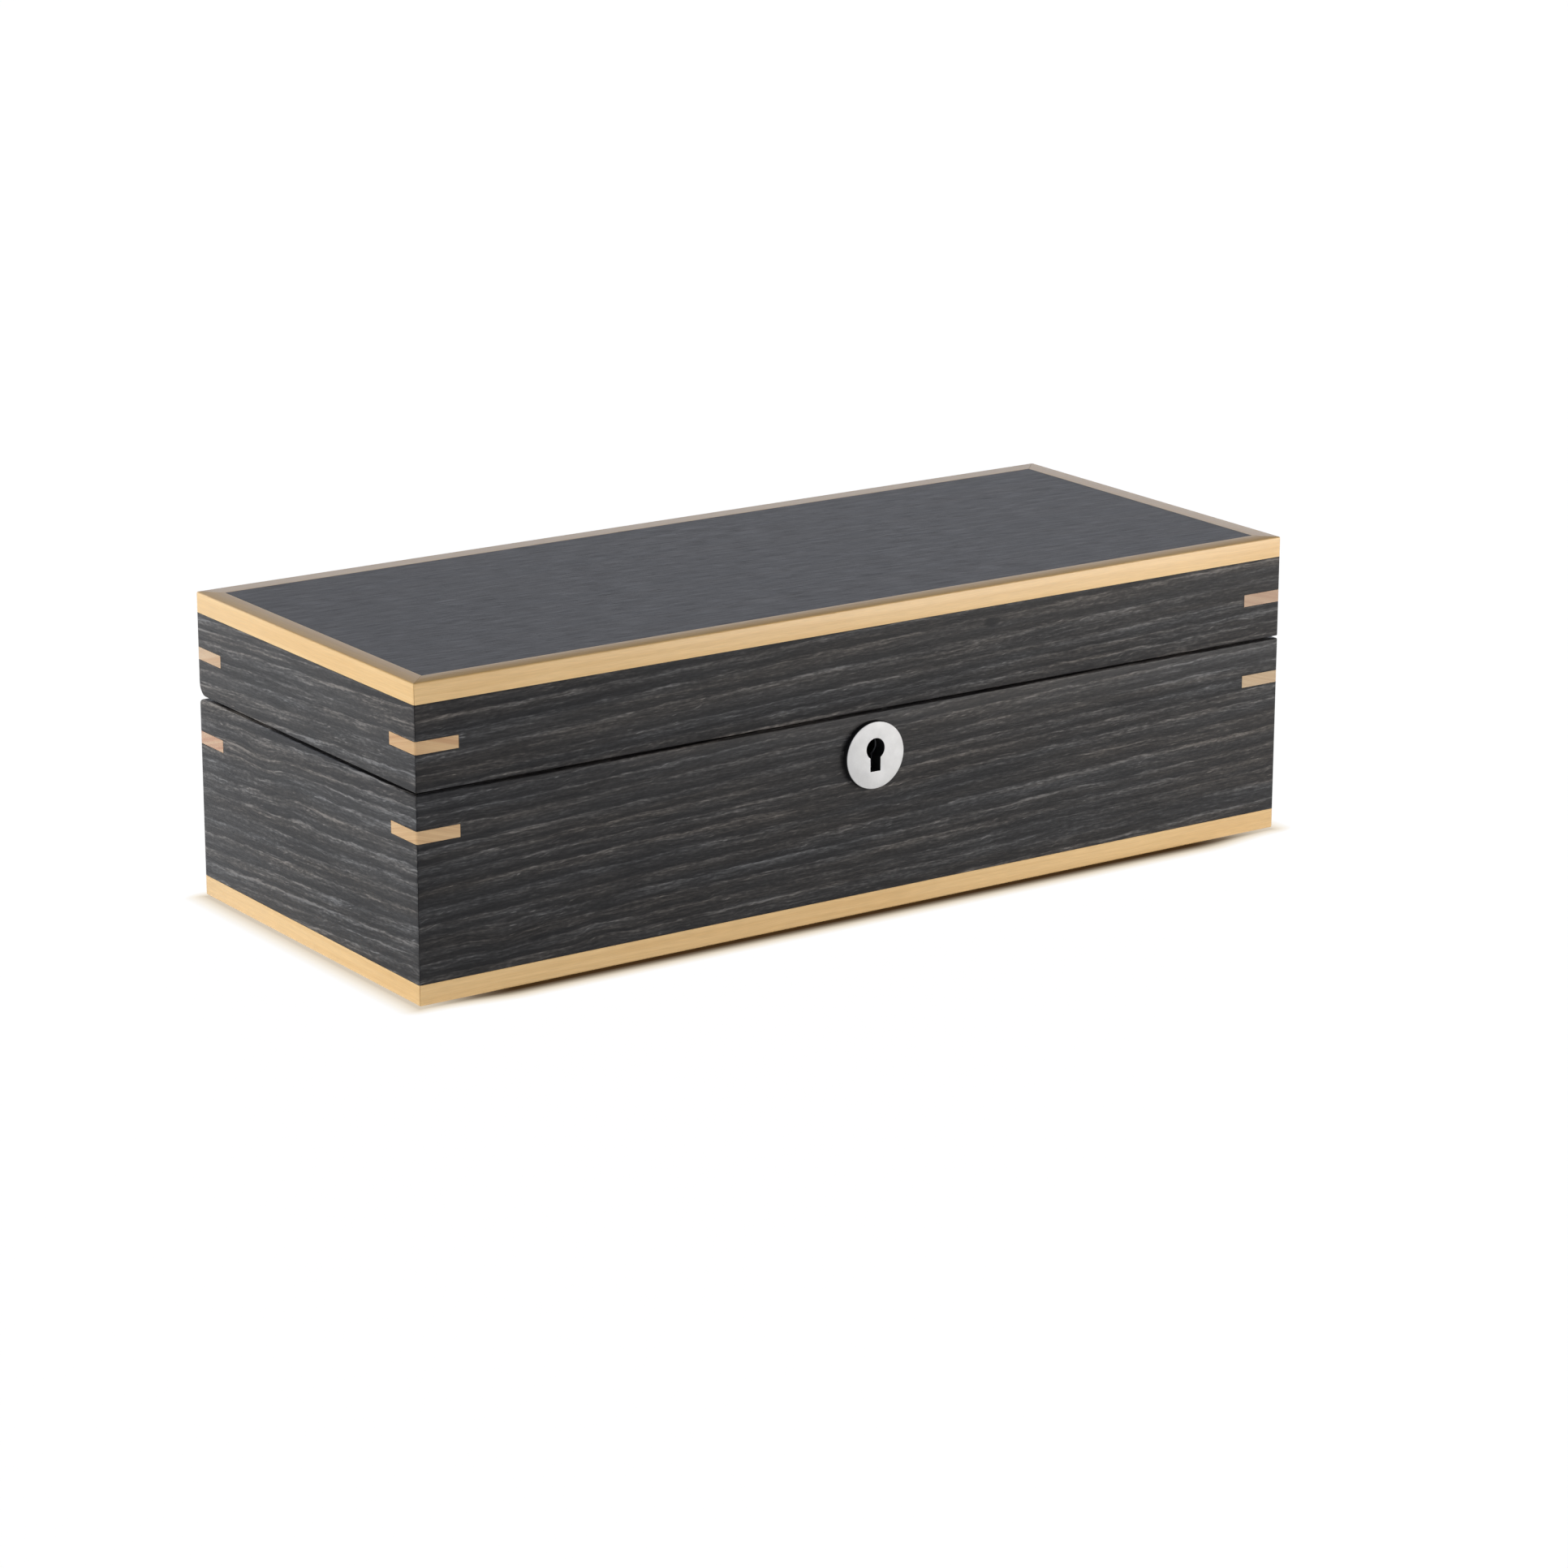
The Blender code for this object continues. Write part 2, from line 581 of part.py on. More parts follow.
def add_bolt(frame):
    """Sliding bolt, drawn back at rest, with the key's notch in its lower edge."""
    notch_left, notch_right = BOLT_NOTCH
    outline = [
        (BOLT_LEFT, BOLT_UNDER),
        (notch_left, BOLT_UNDER),
        (notch_left, BOLT_NOTCH_TOP),
        (notch_right, BOLT_NOTCH_TOP),
        (notch_right, BOLT_UNDER),
        (BOLT_HEAD, BOLT_UNDER),
        (BOLT_HEAD, BOLT_SHOULDER),
        (BOLT_TIP, BOLT_SHOULDER),
        (BOLT_TIP, BOLT_TOP),
        (BOLT_LEFT, BOLT_TOP),
    ]
    half = BOLT_THICKNESS / 2
    mesh = prism("lock_bolt", outline, "Y", LOCK_MIDDLE_Y - half, LOCK_MIDDLE_Y + half)
    add_piece("lock_bolt", mesh, "nickel", frame)


def add_lever(frame):
    """Sprung lever behind the bolt: the key lifts its belly to free the bolt."""
    pivot = (LEVER_PIVOT.x, LEVER_PIVOT.z)
    shoulder = math.degrees(math.asin((LEVER_TOP - LEVER_PIVOT.z) / LEVER_BOSS_RADIUS))
    boss = arc(pivot, LEVER_BOSS_RADIUS, shoulder, 360 - shoulder, 12)
    belly = arc((LEVER_BELLY, LEVER_UNDER), LEVER_BELLY_SIZE, 180, 360, 8)
    nose = (LEVER_TIP + 0.0006, LEVER_UNDER + 0.0006)
    outline = boss + belly + [(LEVER_TIP, LEVER_UNDER), nose, (LEVER_TIP, LEVER_TOP)]
    near = LEVER_PIVOT.y - LEVER_THICKNESS / 2
    far = LEVER_PIVOT.y + LEVER_THICKNESS / 2
    lever = add_piece("lock_lever", prism("lock_lever", outline, "Y", near, far), "nickel", frame)
    hole_outline = circle(pivot, LEVER_POST_RADIUS + 0.0001, 16)
    hole = prism("lever_hole", hole_outline, "Y", near - 0.001, far + 0.001)
    combine(lever, add_cutter("lever_hole", hole))


def add_lever_spring(frame):
    """Leaf spring from the selvage's underside down to the lever's back."""
    high = BASE_TOP - SELVAGE_THICKNESS - GAP
    low = LEVER_TOP + GAP
    bend_radius = (high - low) / 2
    bend_centre = (SPRING_BEND, (high + low) / 2)
    outer_bend = arc(bend_centre, bend_radius, 90, 270, 8)
    inner_bend = arc(bend_centre, bend_radius - SPRING_SHEET, 270, 90, 8)
    foot = [(SPRING_FOOT_END, low), (SPRING_FOOT_END, low + SPRING_SHEET)]
    outline = [(SPRING_TOP_END, high)] + outer_bend + foot
    outline += inner_bend + [(SPRING_TOP_END, high - SPRING_SHEET)]
    half = LEVER_THICKNESS / 2
    mesh = prism("lock_spring", outline, "Y", LEVER_PIVOT.y - half, LEVER_PIVOT.y + half)
    add_piece("lock_spring", mesh, "spring_bronze", frame)


def add_strike(lid_front_wall, frame):
    """Strike plate flush in the lid's rim, with the staple that the bolt enters."""
    name = "lock_strike"
    back = LOCK_BACK - LOCK_SHEET - GAP
    low = (-STRIKE_HALF_WIDTH, LOCK_FRONT, LID_BOTTOM)
    high = (STRIKE_HALF_WIDTH, back, LID_BOTTOM + STRIKE_THICKNESS)
    strike = add_piece(name, block(name, low, high), "lock_steel", frame)
    half = STAPLE_THICKNESS / 2
    staple_low = (STAPLE_X - half, LOCK_MIDDLE_Y - STAPLE_HALF_DEPTH, STAPLE_FOOT)
    staple_high = (STAPLE_X + half, LOCK_MIDDLE_Y + STAPLE_HALF_DEPTH, LID_BOTTOM + STRIKE_THICKNESS / 2)
    combine(strike, add_cutter("staple", block("staple", staple_low, staple_high)), "UNION")
    eye_low = (STAPLE_X - 0.003, LOCK_MIDDLE_Y - EYE_HALF_DEPTH, EYE_BOTTOM)
    eye_high = (STAPLE_X + 0.003, LOCK_MIDDLE_Y + EYE_HALF_DEPTH, EYE_TOP)
    combine(strike, add_cutter("staple_eye", block("staple_eye", eye_low, eye_high)))
    seat_low = (-STRIKE_HALF_WIDTH - GAP, LOCK_FRONT - GAP, LID_BOTTOM - 0.001)
    seat_high = (STRIKE_HALF_WIDTH + GAP, back + GAP, LID_BOTTOM + STRIKE_THICKNESS + GAP)
    combine(lid_front_wall, add_cutter("strike_seat", block("strike_seat", seat_low, seat_high)))
    for hand, side in (("left", -1), ("right", 1)):
        place = (side * STRIKE_SCREW, LOCK_MIDDLE_Y, LID_BOTTOM)
        add_screw(f"strike_screw_{hand}", place, False, "lock_steel", frame, (strike, lid_front_wall))


# ---------------------------------------------------------------- soft pieces
def add_lining(part, low, high, frame):
    """One strip of suede-covered card, folded round the inside of the walls."""
    name = f"{part}_lining"
    half_x = LENGTH / 2 - WALL - GAP
    half_y = DEPTH / 2 - WALL - GAP
    outside = block(name, (-half_x, -half_y, low), (half_x, half_y, high))
    strip = add_piece(name, outside, "grey_suede", frame)
    inside_x = half_x - LINING
    inside_y = half_y - LINING
    inside_low = (-inside_x, -inside_y, low - 0.002)
    inside = block(f"{name}_inside", inside_low, (inside_x, inside_y, high + 0.002))
    combine(strip, add_cutter(f"{name}_inside", inside))


def add_pad(name, low, high, frame):
    half_x = LENGTH / 2 - WALL - LINING - 2 * GAP
    half_y = DEPTH / 2 - WALL - LINING - 2 * GAP
    add_piece(name, block(name, (-half_x, -half_y, low), (half_x, half_y, high)), "grey_suede", frame)


# ---------------------------------------------------------------- assembly
clear_scene()
SCREW = screw_mesh()
SCREW_HOLE = turned("screw_hole", screw_profile(SCREW_CLEARANCE, 0.001), SCREW_SEGMENTS)

base_frame = add_empty("base_frame", Vector((0.0, 0.0, 0.0)))
lid_frame = add_empty("lid_hinge_axis", HINGE_AXIS)
bolt_frame = add_empty("bolt_slide_axis", Vector((BOLT_TIP, LOCK_MIDDLE_Y, KEY_CENTRE + 0.0064)))
lever_frame = add_empty("lever_pivot_axis", LEVER_PIVOT)
for moving in (lid_frame, bolt_frame, lever_frame):
    moving.parent = base_frame
FRAMES = {"base": base_frame, "lid": lid_frame}

BOTTOM_PANEL_TOP = WOOD_BOTTOM + PANEL
TOP_PANEL_UNDERSIDE = WOOD_TOP - PANEL
ENVELOPES = {
    "base": envelope("base", WOOD_BOTTOM, BASE_TOP),
    "lid": envelope("lid", LID_BOTTOM, WOOD_TOP),
}
WALLS = {
    "base": add_walls("base", BOTTOM_PANEL_TOP + GLUE_GAP, BASE_TOP, ENVELOPES["base"], base_frame),
    "lid": add_walls("lid", LID_BOTTOM, TOP_PANEL_UNDERSIDE - GLUE_GAP, ENVELOPES["lid"], lid_frame),
}
for part_name in ("base", "lid"):
    add_corner_keys(part_name, WALLS[part_name], ENVELOPES[part_name], FRAMES[part_name])
add_panel_and_lipping("base", "bottom_panel", WOOD_BOTTOM, BOTTOM_PANEL_TOP, ENVELOPES["base"], base_frame)
add_panel_and_lipping("lid", "top_panel", TOP_PANEL_UNDERSIDE, WOOD_TOP, ENVELOPES["lid"], lid_frame)

FELT_MARGIN = 0.005
felt_low = (-LENGTH / 2 + FELT_MARGIN, -DEPTH / 2 + FELT_MARGIN, 0.0)
felt_high = (LENGTH / 2 - FELT_MARGIN, DEPTH / 2 - FELT_MARGIN, FELT_THICKNESS)
add_piece("underside_felt", block("underside_felt", felt_low, felt_high), "black_felt", base_frame)

for hinge_hand, hinge_middle in HINGE_MIDDLES.items():
    add_hinge(hinge_hand, hinge_middle, WALLS, FRAMES)
add_escutcheon(WALLS["base"]["front"], base_frame)
add_lock_case(WALLS["base"]["front"], base_frame)
add_lock_cap(base_frame)
add_bolt(bolt_frame)
add_lever(lever_frame)
add_lever_spring(base_frame)
add_strike(WALLS["lid"]["front"], lid_frame)

FLOOR = BOTTOM_PANEL_TOP + GAP
CEILING = TOP_PANEL_UNDERSIDE - GAP
add_lining("base", FLOOR, BASE_TOP - LINING_SETBACK, base_frame)
add_lining("lid", LID_BOTTOM + LINING_SETBACK, CEILING, lid_frame)
add_pad("floor_pad", FLOOR, FLOOR + FLOOR_PAD, base_frame)
add_pad("lid_pad", CEILING - LID_PAD, CEILING, lid_frame)
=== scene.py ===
"""Looks of the keepsake box: veneer, lipping, keys, metalwork, suede lining, studio light and camera."""

import json
import math

import bmesh
import bpy
from mathutils import Matrix, Vector


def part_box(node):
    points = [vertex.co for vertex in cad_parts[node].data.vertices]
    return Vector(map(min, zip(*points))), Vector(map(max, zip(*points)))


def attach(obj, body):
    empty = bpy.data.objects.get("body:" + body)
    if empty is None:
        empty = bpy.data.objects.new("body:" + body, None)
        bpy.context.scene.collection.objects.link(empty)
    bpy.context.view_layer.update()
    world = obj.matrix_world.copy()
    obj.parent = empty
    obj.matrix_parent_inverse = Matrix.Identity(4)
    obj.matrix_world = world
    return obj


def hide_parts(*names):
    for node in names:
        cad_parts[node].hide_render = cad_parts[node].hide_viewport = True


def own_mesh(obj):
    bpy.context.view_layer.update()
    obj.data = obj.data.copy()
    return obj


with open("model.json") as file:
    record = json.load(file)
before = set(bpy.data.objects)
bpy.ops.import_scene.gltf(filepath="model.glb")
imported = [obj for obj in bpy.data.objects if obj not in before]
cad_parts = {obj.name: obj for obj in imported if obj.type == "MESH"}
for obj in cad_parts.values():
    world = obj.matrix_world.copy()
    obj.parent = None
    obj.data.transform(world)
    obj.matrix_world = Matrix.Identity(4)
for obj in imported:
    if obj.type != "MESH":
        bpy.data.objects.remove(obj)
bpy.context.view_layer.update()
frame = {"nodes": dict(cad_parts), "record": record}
NODES = frame["nodes"]

# The outside of the box's walls, from the frame.
WALLS_LOW = Vector((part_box("base_left_wall")[0].x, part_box("base_front_wall")[0].y, 0.0))
WALLS_HIGH = Vector((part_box("base_right_wall")[1].x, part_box("base_back_wall")[1].y, 0.0))
LENGTH = WALLS_HIGH.x - WALLS_LOW.x
DEPTH = WALLS_HIGH.y - WALLS_LOW.y


# ---------------------------------------------------------------- node helpers
def node(tree, kind, inputs=None, **settings):
    """Add a shader node.  An input is a socket to link, or a plain value."""
    made = tree.nodes.new(kind)
    for key, value in settings.items():
        setattr(made, key, value)
    for key, value in (inputs or {}).items():
        if isinstance(value, bpy.types.NodeSocket):
            tree.links.new(value, made.inputs[key])
        else:
            made.inputs[key].default_value = value
    return made


def calc(tree, operation, first, second=0.0, third=0.0):
    made = node(tree, "ShaderNodeMath", {0: first, 1: second, 2: third}, operation=operation)
    return made.outputs[0]


def ramp(tree, value, low, high, to_low=0.0, to_high=1.0):
    """Smooth step of a value from low..high to to_low..to_high."""
    inputs = {"Value": value, "From Min": low, "From Max": high, "To Min": to_low, "To Max": to_high}
    return node(tree, "ShaderNodeMapRange", inputs, interpolation_type="SMOOTHSTEP").outputs["Result"]


def blend_colours(tree, factor, first, second, mode="MIX"):
    inputs = {"Factor": factor}
    made = node(tree, "ShaderNodeMix", inputs, data_type="RGBA", blend_type=mode)
    for socket, value in ((made.inputs[6], first), (made.inputs[7], second)):
        if isinstance(value, bpy.types.NodeSocket):
            tree.links.new(value, socket)
        else:
            socket.default_value = (*value, 1.0)
    return made.outputs[2]


def place(tree):
    """Object coordinates, which for every CAD node are the row frame's."""
    return node(tree, "ShaderNodeTexCoord").outputs["Object"]


def along(tree, point, direction, start=0.0):
    dot = node(tree, "ShaderNodeVectorMath", {0: point, 1: direction}, operation="DOT_PRODUCT")
    return calc(tree, "ADD", dot.outputs["Value"], start)


def grain_noise(tree, u, v, per_u, per_v, seed, detail=2.0, rough=0.5):
    """Noise stretched along the grain: per_u and per_v are cells per metre."""
    vector = node(tree, "ShaderNodeCombineXYZ", {
        "X": calc(tree, "MULTIPLY", u, per_u), "Y": calc(tree, "MULTIPLY", v, per_v), "Z": seed})
    inputs = {"Vector": vector.outputs[0], "Scale": 1.0, "Detail": detail, "Roughness": rough}
    return node(tree, "ShaderNodeTexNoise", inputs).outputs["Fac"]


def cell_noise(tree, point, scale, detail=2.0, rough=0.5):
    inputs = {"Vector": point, "Scale": scale, "Detail": detail, "Roughness": rough}
    return node(tree, "ShaderNodeTexNoise", inputs).outputs["Fac"]


def new_material(name, **sockets):
    """A Principled material with constants set straight on the shader's own sockets."""
    material = bpy.data.materials.new(name)
    material.use_nodes = True
    shader = material.node_tree.nodes["Principled BSDF"]
    for key, value in sockets.items():
        shader.inputs[key.replace("_", " ")].default_value = value
    return material, material.node_tree, shader


def bump(tree, shader, height, distance, strength=1.0):
    made = node(tree, "ShaderNodeBump", {"Height": height, "Distance": distance, "Strength": strength})
    tree.links.new(made.outputs["Normal"], shader.inputs["Normal"])


# ---------------------------------------------------------------- wood
VENEER_RAMP = (
    (0.00, (0.0040, 0.0040, 0.0052)),
    (0.30, (0.0115, 0.0111, 0.0114)),
    (0.55, (0.0265, 0.0257, 0.0255)),
    (0.80, (0.0670, 0.0652, 0.0628)),
    (1.00, (0.1400, 0.1365, 0.1310)),
)
# How light the wood is from one growth line to the next, going up the board.
GROWTH_RAMP = (
    (0.0, 0.42), (0.26, 0.50), (0.40, 0.58), (0.50, 0.80),
    (0.59, 0.52), (0.69, 0.18), (0.84, 0.24), (1.0, 0.42),
)
VENEER_WARM = (1.085, 1.0, 0.93)
VENEER_COOL = (0.965, 1.0, 1.06)
BOARD_LEVEL = 0.42                 # place on VENEER_RAMP before any pattern is added
GROWTH_MIDDLE = 0.38               # value of GROWTH_RAMP that leaves the level as it is
LINE_PITCH = 0.0047                # from one growth line to the next
LINE_CROWDING = 1.8                # how many lines the spacing drifts by
LINE_RAGGED = 0.55                 # how ragged a line's edges are, in lines
LINE_CLARITY = (0.30, 1.0)         # how strongly the lines show, from patch to patch
EDGE_TURN = 0.85                   # how fast the pattern moves on where the wood turns an edge
FIBRE_SLANT = 0.09
FIBRE_STRENGTH = 0.48
PORE_STRENGTH = -0.16
KNOT_STRENGTH = -1.1
SWIRL_STRETCH = (0.55, 0.55, 1.0)  # a swirl is longer along the board than up it
VENEER_ROUGHNESS = (0.34, 0.48)
VENEER_RELIEF = 0.00005

# Noise in the grain: cells per metre along it and across it, a seed, detail and roughness.
SPACING_CELLS = (1.5, 60.0, 21.0, 1.0)
RAGGED_CELLS = (75.0, 1100.0, 71.0, 2.0, 0.6)
CLARITY_CELLS = (9.0, 150.0, 5.5, 3.0)
FIBRE_CELLS = (85.0, 2500.0, 11.0, 2.0, 0.6)
PORE_CELLS = (130.0, 2700.0, 41.0, 1.0)
WARMTH_CELLS = (9.0, 130.0, 51.0, 3.0, 0.6)
# The same with how far each layer pushes the lines up or down, in metres.
WANDERS = (
    ((4.0, 14.0, 3.1), 0.0045),
    ((20.0, 60.0, 8.7), 0.0011),
    ((120.0, 420.0, 14.0), 0.0010),
)
# The same with how much each layer lightens or darkens the wood: streaks, feathering and speckle.
STREAKS = (
    ((34.0, 620.0, 1.3, 3.0, 0.6), 0.95),
    ((95.0, 1300.0, 61.0, 2.0, 0.6), 0.80),
    ((460.0, 1500.0, 83.0, 1.0), 0.60),
)
# Short light marks that come in patches, scratches then flecks:
# the marks' slant, cells and threshold, the patches' cells and threshold, and the marks' strength.
MARKS = (
    (-0.22, (210.0, 1700.0, 37.0, 1.0), (0.62, 0.74), (30.0, 80.0, 43.0, 2.0), (0.48, 0.62), 0.30),
    (0.0, (170.0, 1250.0, 17.0, 1.0), (0.68, 0.77), (22.0, 60.0, 29.0, 2.0), (0.44, 0.62), 0.38),
)


def grey_level(tree, value):
    return node(tree, "ShaderNodeCombineColor", {0: value, 1: value, 2: value}).outputs[0]


def colour_ramp(tree, value, stops):
    made = node(tree, "ShaderNodeValToRGB", {"Fac": value})
    elements = made.color_ramp.elements
    while len(elements) < len(stops):
        elements.new(0.5)
    for element, (position, colour) in zip(elements, stops):
        level = colour if isinstance(colour, tuple) else (colour,) * 3
        element.position = position
        element.color = (*level, 1.0)
    return made.outputs["Color"]


def centred(tree, value):
    """Noise about zero."""
    return calc(tree, "SUBTRACT", value, 0.5)


def add(tree, total, value, amount):
    return calc(tree, "MULTIPLY_ADD", value, amount, total)


def swirl(tree, point, centre, radius, rise):
    """rise at the centre, falling to nothing at the radius."""
    offset = node(tree, "ShaderNodeVectorMath", {0: point, 1: centre}, operation="SUBTRACT").outputs[0]
    flat = node(tree, "ShaderNodeVectorMath", {0: offset, 1: SWIRL_STRETCH}, operation="MULTIPLY").outputs[0]
    far = node(tree, "ShaderNodeVectorMath", {0: flat}, operation="LENGTH").outputs["Value"]
    return ramp(tree, far, 0.0, radius, rise, 0.0)


def veneer(name, run, run_start, inward, inward_start, slope, painted_light_drift=0.0, contrast_and_sheen=0.92, gloss=1.36,
           swirls=(), knots=()):
    """Stained open-grain oak.  u runs along the grain and v across it, turning over the edges.

    slope tilts the grain. drift is painted light: it lightens the board along its run, per metre. streaks is
    the grain's contrast; raised on a side, it also paints a sheen there.
    """
    material, tree, shader = new_material(name, IOR=gloss)
    point = place(tree)
    u = along(tree, point, run, run_start)
    depth_in = along(tree, point, inward, inward_start)
    v = add(tree, along(tree, point, (0, 0, 1)), depth_in, EDGE_TURN)
    v = add(tree, v, u, slope)
    for cells, push in WANDERS:
        v = add(tree, v, centred(tree, grain_noise(tree, u, v, *cells)), push)
    for centre, radius, rise in swirls:
        v = calc(tree, "ADD", v, swirl(tree, point, centre, radius, rise))

    def grain(cells, slant=0.0):
        return grain_noise(tree, u, add(tree, v, u, slant), *cells)

    crowding = calc(tree, "MULTIPLY", grain(SPACING_CELLS), LINE_CROWDING)
    phase = add(tree, crowding, v, 1.0 / LINE_PITCH)
    phase = add(tree, phase, centred(tree, grain(RAGGED_CELLS)), LINE_RAGGED)
    growth = colour_ramp(tree, calc(tree, "FRACT", phase), GROWTH_RAMP)
    clarity = ramp(tree, grain(CLARITY_CELLS), 0.32, 0.62, *LINE_CLARITY)
    lines = calc(tree, "MULTIPLY", calc(tree, "SUBTRACT", growth, GROWTH_MIDDLE), clarity)
    # The contrast set per side scales the lines here and the streaks and marks below; raised on the left
    # wall, it also paints a sheen there.
    level = calc(tree, "MULTIPLY_ADD", lines, contrast_and_sheen, BOARD_LEVEL)

    # Painted light: the board gets lighter along its run, as if lit more towards one end.
    level = add(tree, level, along(tree, point, run), painted_light_drift)
    for cells, strength in STREAKS:
        level = add(tree, level, centred(tree, grain(cells)), strength * contrast_and_sheen)
    for slant, mark_cells, mark_edge, patch_cells, patch_edge, strength in MARKS:
        marks = ramp(tree, grain(mark_cells, slant), *mark_edge)
        patches = ramp(tree, grain(patch_cells), *patch_edge)
        level = add(tree, level, calc(tree, "MULTIPLY", marks, patches), strength * contrast_and_sheen)
    fibre = grain(FIBRE_CELLS, FIBRE_SLANT)
    level = add(tree, level, centred(tree, fibre), FIBRE_STRENGTH)
    pores = ramp(tree, grain(PORE_CELLS), 0.60, 0.74)
    level = add(tree, level, pores, PORE_STRENGTH)
    for centre, radius in knots:
        level = calc(tree, "ADD", level, swirl(tree, point, centre, radius, KNOT_STRENGTH))

    warmth = ramp(tree, grain(WARMTH_CELLS), 0.34, 0.66)
    tint = blend_colours(tree, warmth, VENEER_COOL, VENEER_WARM)
    colour = blend_colours(tree, 1.0, colour_ramp(tree, level, VENEER_RAMP), tint, "MULTIPLY")
    tree.links.new(colour, shader.inputs["Base Color"])
    tree.links.new(ramp(tree, fibre, 0.3, 0.7, *VENEER_ROUGHNESS), shader.inputs["Roughness"])
    relief = calc(tree, "MULTIPLY_ADD", pores, -0.7, calc(tree, "MULTIPLY", fibre, 0.5))
    bump(tree, shader, relief, VENEER_RELIEF)
    return material


# Noise in the maple, as for the oak.
MAPLE_WANDER = ((14.0, 60.0, 2.0), 0.003)
MAPLE_LINES = (9.0, 620.0, 4.0, 3.0, 0.6)
MAPLE_FIBRE = (150.0, 3600.0, 6.0, 2.0)
MAPLE_CLOUDS = (18.0, 40.0, 9.0, 2.0)
MAPLE_LINE_SHARE = 0.55
MAPLE_CLOUD_SHARE = 0.35
MAPLE_SHADE = (0.92, 1.07)
MAPLE_ROUGHNESS = (0.36, 0.48)
MAPLE_RELIEF = 0.00003


def across(run):
    """The two directions across a run along one axis, added up."""
    return Vector((1, 1, 1)) - Vector([abs(part) for part in run])


def maple(name, run, offset, pale, deep, figure=1.0):
    """Pale close-grained wood, with its pattern moved along by offset and figure as its contrast."""
    material, tree, shader = new_material(name, IOR=1.5, Coat_Weight=0.7, Coat_Roughness=0.3)
    point = place(tree)
    u = along(tree, point, run, offset)
    v = along(tree, point, across(run))
    cells, push = MAPLE_WANDER
    v = add(tree, v, centred(tree, grain_noise(tree, u, v, *cells)), push)
    lines = ramp(tree, grain_noise(tree, u, v, *MAPLE_LINES), 0.35, 0.68)
    fibre = grain_noise(tree, u, v, *MAPLE_FIBRE)
    clouds = ramp(tree, grain_noise(tree, u, v, *MAPLE_CLOUDS), 0.3, 0.7)
    factor = calc(tree, "MULTIPLY", lines, MAPLE_LINE_SHARE * figure)
    factor = add(tree, factor, clouds, MAPLE_CLOUD_SHARE * figure)
    colour = blend_colours(tree, factor, pale, deep)
    shade = grey_level(tree, ramp(tree, fibre, 0.2, 0.8, *MAPLE_SHADE))
    tree.links.new(blend_colours(tree, 1.0, colour, shade, "MULTIPLY"), shader.inputs["Base Color"])
    tree.links.new(ramp(tree, fibre, 0.3, 0.7, *MAPLE_ROUGHNESS), shader.inputs["Roughness"])
    bump(tree, shader, fibre, MAPLE_RELIEF)
    return material


# ---------------------------------------------------------------- metal and cloth
BRUSH_CELLS = (30.0, 4200.0, 2.0, 2.0)
BRUSH_SHADE = 0.86
METAL_MOTTLE = 0.12


def metal(name, colour, roughness):
    """Metal brushed along X."""
    material, tree, shader = new_material(name, Metallic=1.0)
    point = place(tree)
    u = along(tree, point, (1, 0, 0))
    v = along(tree, point, (0, 1, 1))
    lines = grain_noise(tree, u, v, *BRUSH_CELLS)
    mottle = cell_noise(tree, point, 260.0, 3.0)
    dull = tuple(part * BRUSH_SHADE for part in colour)
    brushed = blend_colours(tree, ramp(tree, lines, 0.3, 0.7), dull, colour)
    tree.links.new(brushed, shader.inputs["Base Color"])
    spread = calc(tree, "MULTIPLY_ADD", mottle, METAL_MOTTLE, roughness - METAL_MOTTLE / 2)
    tree.links.new(spread, shader.inputs["Roughness"])
    bump(tree, shader, lines, 0.000008)
    return material


def cloth(name, dark, light, nap_scale, sheen):
    """Short-nap cloth: clouds where the nap lies over, and fine fibres."""
    sockets = {"Specular_IOR_Level": 0.15, "Sheen_Weight": sheen, "Sheen_Roughness": 0.5}
    material, tree, shader = new_material(name, **sockets)
    point = place(tree)
    nap = cell_noise(tree, point, nap_scale, 3.0, 0.7)
    clouds = cell_noise(tree, point, 30.0, 3.0, 0.55)
    factor = calc(tree, "MULTIPLY_ADD", ramp(tree, clouds, 0.3, 0.7), 0.3, calc(tree, "MULTIPLY", nap, 0.7))
    tree.links.new(blend_colours(tree, factor, dark, light), shader.inputs["Base Color"])
    tree.links.new(ramp(tree, nap, 0.2, 0.8, 0.85, 1.0), shader.inputs["Roughness"])
    bump(tree, shader, nap, 0.00025, 0.6)
    return material


# ---------------------------------------------------------------- dress the CAD nodes
JOIN_DISTANCE = 0.00001
SMOOTH_BELOW = math.radians(32)
BREAK_ABOVE = math.radians(40)


def smooth_group():
    """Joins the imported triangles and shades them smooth, except across real corners."""
    group = bpy.data.node_groups.new("join_and_smooth", "GeometryNodeTree")
    group.interface.new_socket("Geometry", in_out="INPUT", socket_type="NodeSocketGeometry")
    group.interface.new_socket("Geometry", in_out="OUTPUT", socket_type="NodeSocketGeometry")
    start = group.nodes.new("NodeGroupInput")
    merge = node(group, "GeometryNodeMergeByDistance",
                 {"Geometry": start.outputs[0], "Distance": JOIN_DISTANCE})
    plain = node(group, "GeometryNodeRemoveAttribute",
                 {"Geometry": merge.outputs[0], "Name": "custom_normal"})
    angle = node(group, "GeometryNodeInputMeshEdgeAngle")
    soft = node(group, "FunctionNodeCompare", {"A": angle.outputs["Unsigned Angle"], "B": SMOOTH_BELOW},
                data_type="FLOAT", operation="LESS_THAN")
    faces = node(group, "GeometryNodeSetShadeSmooth", {"Geometry": plain.outputs[0], "Shade Smooth": True},
                 domain="FACE")
    edges = node(group, "GeometryNodeSetShadeSmooth",
                 {"Geometry": faces.outputs[0], "Shade Smooth": soft.outputs[0]}, domain="EDGE")
    finish = group.nodes.new("NodeGroupOutput")
    group.links.new(edges.outputs[0], finish.inputs[0])
    return group


SMOOTH = smooth_group()


